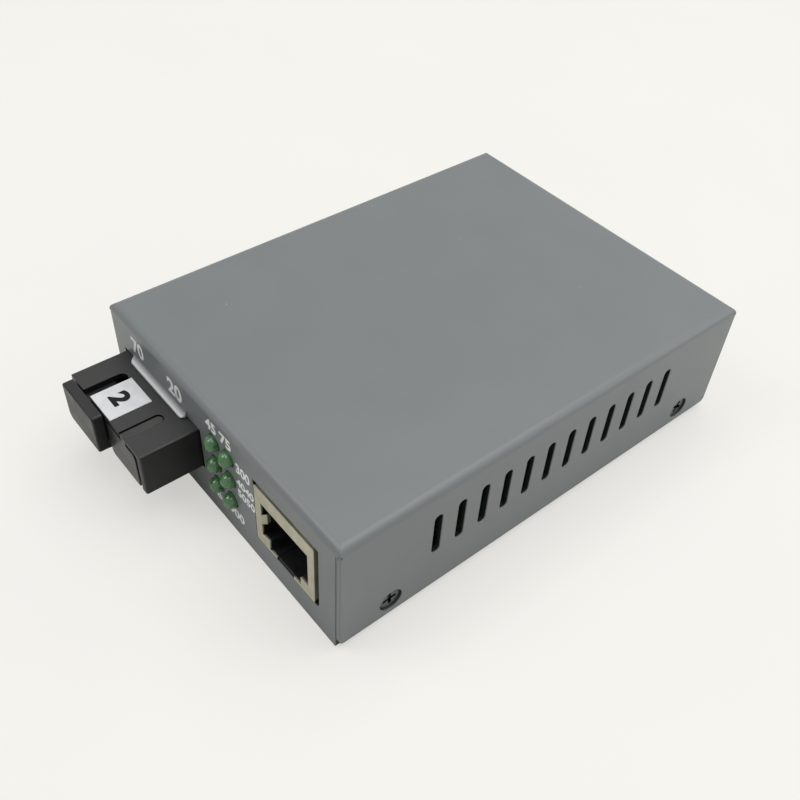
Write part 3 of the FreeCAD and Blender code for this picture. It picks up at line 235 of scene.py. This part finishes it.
def black_oxide():
    """Blackened steel screws, a satin dark grey, with painted shade in the cross and round the sunk head."""
    material, tree, place = blank_material("black_oxide_steel")
    worn = tone(tree, place, 0.8, "#57585a", "#6c6d6f")
    return finished(material, tree, {
        "Base Color": painted_shade_in_gaps(tree, worn, "#101011", 0.7), "Metallic": 0.85,
        "Roughness": rough_range(tree, place, 0.9, 0.28, 0.42),
        "Normal": grain(tree, place, 0.12, 0.006, edge=0.12)})


# ---------------------------------------------------------------- metals
def tin_plate():
    """Tin-plated brass sheet of the jack's shield: a warm satin metal with faint rolling lines, and with
    painted shade in the gap to the case."""
    material, tree, place = blank_material("tin_plated_sheet")
    lengthwise = add(tree, "ShaderNodeMapping", {"Vector": place, "Scale": (1.0, 0.08, 1.0)})
    bright = tone(tree, place, 2.2, "#b1ad99", "#c3bfab")
    return finished(material, tree, {
        "Base Color": painted_shade_in_gaps(tree, bright, "#17160f", 1.0), "Metallic": 0.75,
        "Roughness": rough_range(tree, place, 1.6, 0.36, 0.50),
        "Normal": grain(tree, lengthwise.outputs[0], 0.10, 0.003, edge=0.08)})


def gold_flash(name, dark, light):
    """Thin gold over nickel, as on contacts and sealed cans."""
    material, tree, place = blank_material(name)
    return finished(material, tree, {
        "Base Color": tone(tree, place, 1.2, dark, light), "Metallic": 1.0,
        "Roughness": rough_range(tree, place, 0.8, 0.18, 0.30),
        "Normal": grain(tree, place, 0.15, 0.002, edge=0.06)})


def bright_metal(name, dark, light, low, high):
    """Nickel, tin or stainless steel with a light satin; low and high are its roughness."""
    material, tree, place = blank_material(name)
    return finished(material, tree, {
        "Base Color": tone(tree, place, 1.5, dark, light), "Metallic": 1.0,
        "Roughness": rough_range(tree, place, 1.1, low, high),
        "Normal": grain(tree, place, 0.2, 0.003, edge=0.08)})


# ---------------------------------------------------------------- plastics, ceramic, board and paper
def moulded(name, dark, light, low, high, spark=0.12, depth=0.006, edge=0.18, gloss=0.5, dust=None):
    """Injection-moulded plastic with the grain of a spark-eroded tool; low and high are its roughness.
    dust is the colour on the faces that look up: a thin film of dust, together with a painted sheen from the
    light above."""
    material, tree, place = blank_material(name)
    colour = tone(tree, place, 6.0, dark, light)
    # faces that look up turn lighter: a film of dust, and a painted sheen from the light above
    if dust is not None:
        facing = add(tree, "ShaderNodeNewGeometry").outputs["Normal"]
        facing_up = add(tree, "ShaderNodeSeparateXYZ", {0: facing}).outputs[2]
        film = add(tree, "ShaderNodeMapRange", {"Value": facing_up, "From Min": DUST_AND_SHEEN_SLOPE, "From Max": 1.0})
        colour = add(tree, "ShaderNodeMix", {SHARE: film.outputs[0], FIRST: colour, SECOND: srgb(dust)},
                     data_type="RGBA").outputs[MIXED]
    return finished(material, tree, {
        "Base Color": colour, "IOR": 1.52, "Specular IOR Level": gloss,
        "Roughness": rough_range(tree, place, 3.0, low, high),
        "Normal": grain(tree, place, spark, depth, edge=edge)})


def lamp_epoxy():
    """Cast green diffused epoxy of an indicator lamp: wet-looking skin over a cloudy green body."""
    material, tree, place = blank_material("green_lamp_epoxy")
    return finished(material, tree, {
        "Base Color": tone(tree, place, 1.4, "#447a47", "#54905a"), "IOR": 1.54, "Specular IOR Level": 0.75,
        "Roughness": rough_range(tree, place, 1.0, 0.10, 0.16),
        "Normal": grain(tree, place, 0.6, 0.008, edge=0.35),
        "Transmission Weight": 0.35, "Subsurface Weight": 0.25, "Subsurface Scale": 1.0,
        "Subsurface Radius": (0.6 * MM, 1.4 * MM, 0.6 * MM)})


def zirconia():
    """Ground white ceramic of the port's sleeve."""
    material, tree, place = blank_material("zirconia_white")
    return finished(material, tree, {
        "Base Color": tone(tree, place, 2.0, "#e4e1d8", "#f2f0ea"), "IOR": 2.1,
        "Roughness": rough_range(tree, place, 1.0, 0.12, 0.2),
        "Normal": grain(tree, place, 0.2, 0.002)})


def solder_mask():
    """Green solder mask over copper tracks: the tracks show as paler, slightly raised lines."""
    material, tree, place = blank_material("solder_mask_green")
    # the pattern's unit is 1.6 mm: rows of tracks 0.4 mm apart, joined every 0.8 mm
    tracks = add(tree, "ShaderNodeTexBrick", {"Vector": place, "Scale": per(1.6), "Mortar Size": 0.09,
                                              "Color1": srgb("#0f3d22"), "Color2": srgb("#124527"),
                                              "Mortar": srgb("#1f6a3c")})
    bump = add(tree, "ShaderNodeBump", {"Height": tracks.outputs["Fac"], "Distance": 0.02 * MM,
                                        "Strength": 0.6})
    return finished(material, tree, {
        "Base Color": tracks.outputs[0], "Normal": bump.outputs[0],
        "Roughness": rough_range(tree, place, 4.0, 0.25, 0.38)})


def coated_paper():
    """White label stock: clay-coated paper with a faint fibre and slightly grey, handled patches."""
    material, tree, place = blank_material("label_paper_white")
    stretched = add(tree, "ShaderNodeMapping", {"Vector": place, "Scale": (1.0, 0.25, 1.0)})
    return finished(material, tree, {
        "Base Color": tone(tree, place, 2.6, "#c5c6c9", "#d3d4d6"),
        "Roughness": rough_range(tree, place, 1.5, 0.5, 0.62),
        "Normal": grain(tree, stretched.outputs[0], 0.16, 0.006)})


def printing_ink(name, dark, light, gloss=0.5):
    """Screen-printed ink: a thin opaque film whose cover is a little uneven."""
    material, tree, place = blank_material(name)
    return finished(material, tree, {
        "Base Color": tone(tree, place, 0.7, dark, light), "Specular IOR Level": gloss,
        "Roughness": rough_range(tree, place, 0.9, 0.42, 0.6),
        "Normal": grain(tree, place, 0.22, 0.004)})


# ---------------------------------------------------------------- who wears what
finishes = {
    powder_coat(): ["cover", "base_plate"],
    black_oxide(): ["cover_screws"],
    tin_plate(): ["rj45_shield"],
    moulded("jack_body_black", "#141517", "#1b1c1e", 0.26, 0.36): ["rj45_insert"],
    gold_flash("gold_flashed_contact", "#b98f45", "#d8b264"): ["rj45_contacts"],
    # the dust colours below also hold a painted sheen of the faces that look up
    moulded("transceiver_shell_black", "#111212", "#181919", 0.36, 0.44, edge=0.1, gloss=0.32,
            dust="#303131"): ["sc_housing", "sc_base", "sc_latch_insert"],
    moulded("blank_insert_grey", "#272726", "#2e2e2d", 0.30, 0.38): ["sc_blank_insert"],
    moulded("dust_plug_black", "#0b0b0c", "#111112", 0.34, 0.44, edge=0.1, gloss=0.28,
            dust="#262728"): ["dust_plug"],
    zirconia(): ["ferrule_sleeve"],
    bright_metal("turned_stainless", "#a5a5a2", "#bcbcb8", 0.2, 0.32): ["optical_body"],
    gold_flash("gold_flashed_can", "#b08f50", "#cdb070"): ["laser_can", "detector_can"],
    solder_mask(): ["circuit_board", "transceiver_board"],
    bright_metal("tinned_lead", "#b9b9b6", "#cfcfcc", 0.25, 0.4): [
        "transceiver_pins", "led_leads", "dc_jack_pin", "dc_jack_spring", "switch_chip_leads",
        "lan_transformer_leads", "regulator_leads"],
    bright_metal("nickel_plate", "#b4b2aa", "#c9c7bf", 0.2, 0.34): [
        "board_standoffs", "board_screws", "crystal"],
    bright_metal("drawn_aluminium", "#b6b8ba", "#c8cacc", 0.3, 0.42): ["capacitor_1", "capacitor_2"],
    coated_paper(): ["transceiver_label"],
    lamp_epoxy(): ["led_%d" % i for i in range(1, 7)],
    moulded("epoxy_package_black", "#1b1b1c", "#252526", 0.45, 0.6, spark=0.08): [
        "led_holder", "dc_jack_housing", "switch_chip", "lan_transformer", "regulator", "chip_resistors"],
    moulded("ferrite_grey", "#2c2c2e", "#3a3a3c", 0.55, 0.7, spark=0.2, depth=0.02): ["power_inductor"],
    moulded("ceramic_tan", "#93795a", "#a88c69", 0.45, 0.6, spark=0.1): ["chip_capacitors"],
}
for material, names in finishes.items():
    for name in names:
        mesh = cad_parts[name].data
        mesh.materials.clear()
        mesh.materials.append(material)


# ---------------------------------------------------------------- printed numbers
INK_LIFT = 0.02 * MM          # thickness of printed ink
PANEL_WEIGHT = 0.03           # how much bolder than the font the figures are
LABEL_WEIGHT = 0.05

# number, its width and height, and its centre across and up, in millimetres
PANEL_NUMBERS = [
    ("70", 4.2, 3.6, -25.4, 21.5),
    ("20", 4.8, 3.7, -12.4, 21.5),
    ("45", 3.3, 2.5, -0.5, 22.65),
    ("75", 3.4, 2.5, 4.0, 22.65),
    ("300", 4.1, 2.4, 8.8, 19.05),
    ("4040", 5.2, 1.9, 9.1, 15.45),
    ("5050", 5.2, 1.9, 9.2, 12.75),
    ("6", 1.9, 2.3, -0.35, 5.25),
    ("900", 4.7, 2.3, 5.4, 5.45),
]
LABEL_NUMBER = ("2", 3.0, 3.6)
LABEL_SHIFT = -0.2 * MM       # the label's number stands this far off its middle


def printed(name, text, width, height, centre, turn, weight, material, slot_name):
    """Generic number as a thin film of ink: width and height of the whole number in millimetres, centre
    in metres; turn takes the page's X right and Y up to the surface."""
    # drawn at any size and thickness, and then stretched to its own
    bpy.ops.object.text_add()
    writing = bpy.context.object
    writing.data.body = text
    writing.data.offset = weight
    writing.data.extrude = 0.5
    writing.data.resolution_u = 4
    bpy.ops.object.convert(target="MESH")
    piece = bpy.context.object
    piece.name = name
    corners = [v.co for v in piece.data.vertices]
    low = Vector([min(c[i] for c in corners) for i in range(3)])
    high = Vector([max(c[i] for c in corners) for i in range(3)])
    sizes = (width * MM, height * MM, INK_LIFT)
    shape = Matrix.Diagonal([size / (top - bottom) for size, bottom, top in zip(sizes, low, high)] + [1.0])
    piece.data.transform(Matrix.Translation(centre) @ turn @ shape @ Matrix.Translation(-(low + high) / 2))
    piece.data.materials.clear()
    piece.data.materials.append(material)
    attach(piece, "converter")


white_ink = printing_ink("white_screen_ink", "#dde0e1", "#f0f2f2")
on_panel = Matrix.Rotation(math.pi / 2, 4, "X")
for text, width, height, across, up in PANEL_NUMBERS:
    middle = Vector((across * MM, -CASE_FRONT - INK_LIFT / 2, up * MM))
    printed("printed_number_" + text, text, width, height, middle, on_panel, PANEL_WEIGHT, white_ink,
            "label_paper")

black_ink = printing_ink("black_label_ink", "#060607", "#0d0d0e", gloss=0.2)
label_low, label_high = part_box("transceiver_label")
label_middle = (label_low + label_high) / 2
label_top = Vector((label_middle.x + LABEL_SHIFT, label_middle.y, label_high.z + INK_LIFT / 2))
printed("label_number", *LABEL_NUMBER, label_top, Matrix.Identity(4), LABEL_WEIGHT, black_ink, "plug_black")


# ---------------------------------------------------------------- floor, light and camera
def studio_floor():
    """Pale translucent floor with a faint glow of its own, so that the shadows on it look light."""
    plan = bmesh.new()
    bmesh.ops.create_grid(plan, x_segments=1, y_segments=1, size=FLOOR_HALF)
    mesh = bpy.data.meshes.new("studio_floor")
    plan.to_mesh(mesh)
    plan.free()
    floor = bpy.data.objects.new("studio_floor", mesh)
    bpy.context.scene.collection.objects.link(floor)
    floor.location.z = -FLOOR_GAP
    material, tree, place = blank_material("floor_opal_white")
    lit = add(tree, "ShaderNodeBsdfPrincipled",
              {"Base Color": tone(tree, place, 60.0, "#e6e5e1", "#eae9e4"), "Roughness": 0.85,
               "Specular IOR Level": 0.2})
    glow = add(tree, "ShaderNodeEmission", {"Color": srgb(BACKDROP_HEX), "Strength": 1.0})
    ray = add(tree, "ShaderNodeLightPath").outputs
    direct = add(tree, "ShaderNodeMath", {0: ray["Is Camera Ray"], 1: ray["Is Transmission Ray"]},
                 operation="MAXIMUM")
    share = add(tree, "ShaderNodeMath", {0: direct.outputs[0], 1: FLOOR_GLOW}, operation="MULTIPLY")
    both = add(tree, "ShaderNodeMixShader", {0: share.outputs[0], 1: lit.outputs[0], 2: glow.outputs[0]})
    add(tree, "ShaderNodeOutputMaterial", {"Surface": both.outputs[0]})
    mesh.materials.append(material)


def studio_world():
    """Even pale surroundings; the camera sees the backdrop itself, also through clear pieces, and gloss
    a part of its brightness."""
    world = bpy.data.worlds.new("studio")
    bpy.context.scene.world = world
    world.use_nodes = True
    tree = world.node_tree
    tree.nodes.clear()
    lighting, sheen, backdrop = [
        add(tree, "ShaderNodeBackground", {"Color": srgb(BACKDROP_HEX), "Strength": strength}).outputs[0]
        for strength in (WORLD_LIGHT, WORLD_SHEEN, 1.0)]
    ray = add(tree, "ShaderNodeLightPath").outputs
    around = add(tree, "ShaderNodeMixShader", {0: ray["Is Glossy Ray"], 1: lighting, 2: sheen})
    direct = add(tree, "ShaderNodeMath", {0: ray["Is Camera Ray"], 1: ray["Is Transmission Ray"]},
                 operation="MAXIMUM")
    whole = add(tree, "ShaderNodeMixShader", {0: direct.outputs[0], 1: around.outputs[0], 2: backdrop})
    add(tree, "ShaderNodeOutputWorld", {"Surface": whole.outputs[0]})


def bearing(azimuth, elevation):
    """Unit vector from the case towards a bearing, azimuth 0 being in front (-Y)."""
    return Vector((math.sin(azimuth) * math.cos(elevation), -math.cos(azimuth) * math.cos(elevation),
                   math.sin(elevation)))


def soft_box(name, azimuth, elevation, distance, side, power):
    """Square area lamp that looks at the case from a bearing."""
    lamp = bpy.data.lights.new(name, "AREA")
    lamp.shape = "SQUARE"
    lamp.size = side
    lamp.energy = power
    away = bearing(math.radians(azimuth), math.radians(elevation))
    holder = bpy.data.objects.new(name, lamp)
    holder.location = LOOK_AT + away * distance
    holder.rotation_euler = away.to_track_quat("Z", "Y").to_euler()
    bpy.context.scene.collection.objects.link(holder)


def studio_camera():
    """Camera above the front right corner, looking down at the case and tilted a little."""
    back = bearing(AZIMUTH, ELEVATION)
    right = Vector((math.cos(AZIMUTH), math.sin(AZIMUTH), 0))
    up = back.cross(right)
    turned_right = right * math.cos(ROLL) + up * math.sin(ROLL)
    turned_up = up * math.cos(ROLL) - right * math.sin(ROLL)
    camera = bpy.data.cameras.new("camera")
    camera.lens = LENS
    camera.clip_start = 5 * MM
    holder = bpy.data.objects.new("camera", camera)
    place = LOOK_AT + back * DISTANCE - turned_right * AIM_SHIFT[0] - turned_up * AIM_SHIFT[1]
    axes = Matrix((turned_right, turned_up, back)).transposed().to_4x4()
    holder.matrix_world = Matrix.Translation(place) @ axes
    bpy.context.scene.collection.objects.link(holder)
    bpy.context.scene.camera = holder


studio_floor()
studio_world()
for name, values in SOFT_BOXES.items():
    soft_box(name, *values)
studio_camera()
bpy.context.scene.view_settings.view_transform = "Standard"
